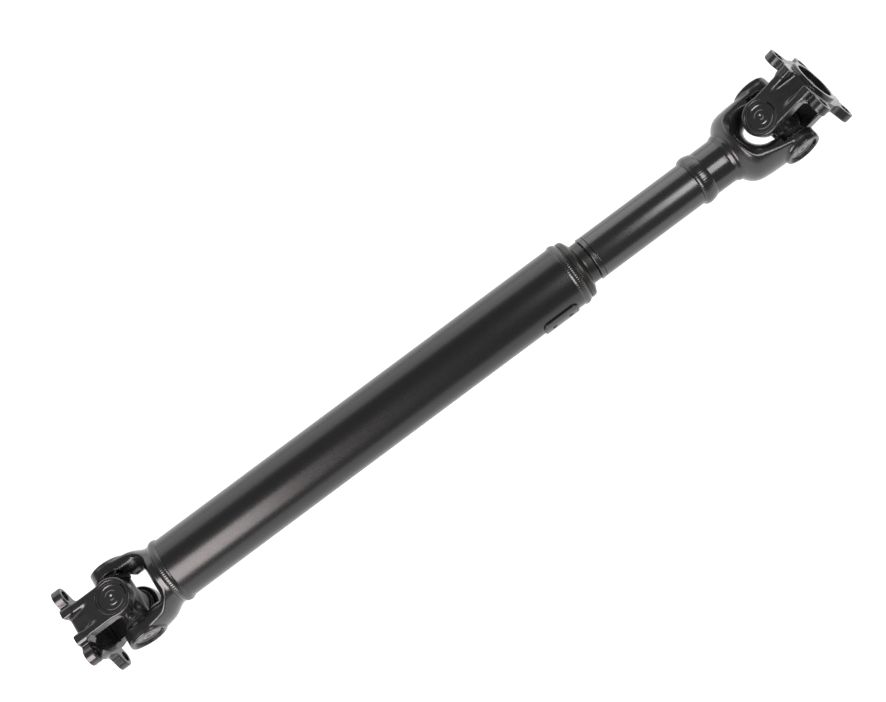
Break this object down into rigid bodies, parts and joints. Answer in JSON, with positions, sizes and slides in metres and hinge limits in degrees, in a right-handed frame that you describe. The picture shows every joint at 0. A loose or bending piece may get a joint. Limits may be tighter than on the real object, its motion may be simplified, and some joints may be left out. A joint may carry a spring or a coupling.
{
  "type": "universal joint shaft",
  "caption": "Telescopic drive shaft with a cross-type universal joint and a lobed bolt flange at each end, and a splined slip joint between them.",
  "frame": {"origin": "centre of the front flange's mating face, on the shaft's axis", "axes": "+X along the shaft from the front flange to the rear one, +Z along the trunnion axis of the front flange yoke, +Y along the trunnion axis of the tube yoke"},
  "size_m": [0.8744, 0.0828, 0.1045],
  "materials": {
    "forging_paint": "semi-gloss black over forged steel",
    "tube_paint": "semi-gloss black over drawn tube",
    "stub_paint": "semi-gloss black, turned",
    "weld_paint": "semi-gloss black over a rippled bead",
    "cup_steel": "thin black over ground steel",
    "cross_steel": "black overspray on forged steel",
    "ring_steel": "black spring steel",
    "roller_steel": "ground bearing steel",
    "seal_rubber": "matte moulded rubber",
    "nipple_steel": "black overspray on plated steel",
    "plug_steel": "black over pressed steel"
  },
  "bodies": {
    "tube": {"main_tube": "tube_paint", "tube_yoke": "forging_paint", "front_weld": "weld_paint", "splined_stub": "stub_paint", "rear_weld": "weld_paint", "balance_weight": "tube_paint", "front_shaft_cup_left": "cup_steel", "front_shaft_cup_right": "cup_steel", "front_shaft_snap_rings": "ring_steel", "front_shaft_rollers": "roller_steel"},
    "front_cross": {"front_cross": "cross_steel", "front_cross_seals": "seal_rubber", "front_grease_nipple": "nipple_steel"},
    "front_flange": {"front_flange_yoke": "forging_paint", "front_flange_cup_upper": "cup_steel", "front_flange_cup_lower": "cup_steel", "front_flange_snap_rings": "ring_steel", "front_flange_rollers": "roller_steel"},
    "slip": {"slip_sleeve": "tube_paint", "dust_cap": "tube_paint", "dust_seal": "seal_rubber", "neck_weld": "weld_paint", "slip_yoke": "forging_paint", "sleeve_plug": "plug_steel", "rear_shaft_cup_left": "cup_steel", "rear_shaft_cup_right": "cup_steel", "rear_shaft_snap_rings": "ring_steel", "rear_shaft_rollers": "roller_steel"},
    "rear_cross": {"rear_cross": "cross_steel", "rear_cross_seals": "seal_rubber", "rear_grease_nipple": "nipple_steel"},
    "rear_flange": {"rear_flange_yoke": "forging_paint", "rear_flange_cup_upper": "cup_steel", "rear_flange_cup_lower": "cup_steel", "rear_flange_snap_rings": "ring_steel", "rear_flange_rollers": "roller_steel"}
  },
  "joints": [
    {"name": "front_shaft_trunnion", "type": "hinge", "parent": "tube", "child": "front_cross", "pos_m": [0.048, 0, 0], "axis": [0, 1, 0], "range_deg": [-32, 32]},
    {"name": "front_flange_trunnion", "type": "hinge", "parent": "front_cross", "child": "front_flange", "pos_m": [0.048, 0, 0], "axis": [0, 0, 1], "range_deg": [-32, 32]},
    {"name": "slip_spline", "type": "slide", "parent": "tube", "child": "slip", "axis": [1, 0, 0], "range_m": [0, 0.055]},
    {"name": "rear_shaft_trunnion", "type": "hinge", "parent": "slip", "child": "rear_cross", "pos_m": [0.812, 0, 0], "axis": [0, 1, 0], "range_deg": [-2, 62]},
    {"name": "rear_flange_trunnion", "type": "hinge", "parent": "rear_cross", "child": "rear_flange", "pos_m": [0.812, 0, 0], "axis": [-0.5, 0, 0.866], "range_deg": [-32, 32]}
  ]
}
